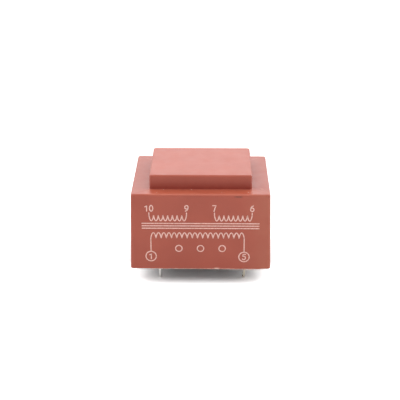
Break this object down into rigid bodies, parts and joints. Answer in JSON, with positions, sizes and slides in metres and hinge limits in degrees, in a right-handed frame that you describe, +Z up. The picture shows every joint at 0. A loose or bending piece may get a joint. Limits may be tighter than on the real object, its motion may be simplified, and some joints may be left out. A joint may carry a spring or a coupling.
{
  "type": "pcb transformer",
  "caption": "Encapsulated mains transformer in a red moulded case with a raised crown over the coil, solder pins in two rows below, laminated core and two-chamber bobbin potted inside.",
  "frame": {"origin": "centre of the four corner pins, in the plane of the case rim, which is the plane that sits on the board", "axes": "+Z up out of the board; X along the long side, pin 1 at -X and pin 5 at +X on the front row at -Y; pins 6 to 10 in the rear row at +Y from +X to -X"},
  "size_m": [0.0324, 0.0274, 0.0258],
  "materials": {
    "case_plastic": "semi-gloss brick red moulded thermoplastic",
    "resin": "cast potting resin, dull black",
    "bobbin_plastic": "moulded glass-filled nylon",
    "core_steel": "oxide-insulated silicon steel sheet",
    "enamelled_wire": "enamelled copper wire",
    "tape": "polyester insulating tape",
    "tinned_wire": "tinned copper-clad steel, bright"
  },
  "bodies": {
    "root": {"case": "case_plastic", "potting_resin": "resin", "bobbin": "bobbin_plastic", "core_e_front": "core_steel", "core_i_rear": "core_steel", "core_e_rear": "core_steel", "core_i_front": "core_steel", "primary_winding": "enamelled_wire", "primary_tape": "tape", "secondary_winding_1": "enamelled_wire", "interlayer_tape": "tape", "secondary_winding_2": "enamelled_wire", "secondary_tape": "tape", "pin_1": "tinned_wire", "pin_5": "tinned_wire", "pin_6": "tinned_wire", "pin_7": "tinned_wire", "pin_9": "tinned_wire", "pin_10": "tinned_wire", "lead_1": "enamelled_wire", "lead_5": "enamelled_wire", "lead_6": "enamelled_wire", "lead_7": "enamelled_wire", "lead_9": "enamelled_wire", "lead_10": "enamelled_wire"}
  },
  "joints": []
}
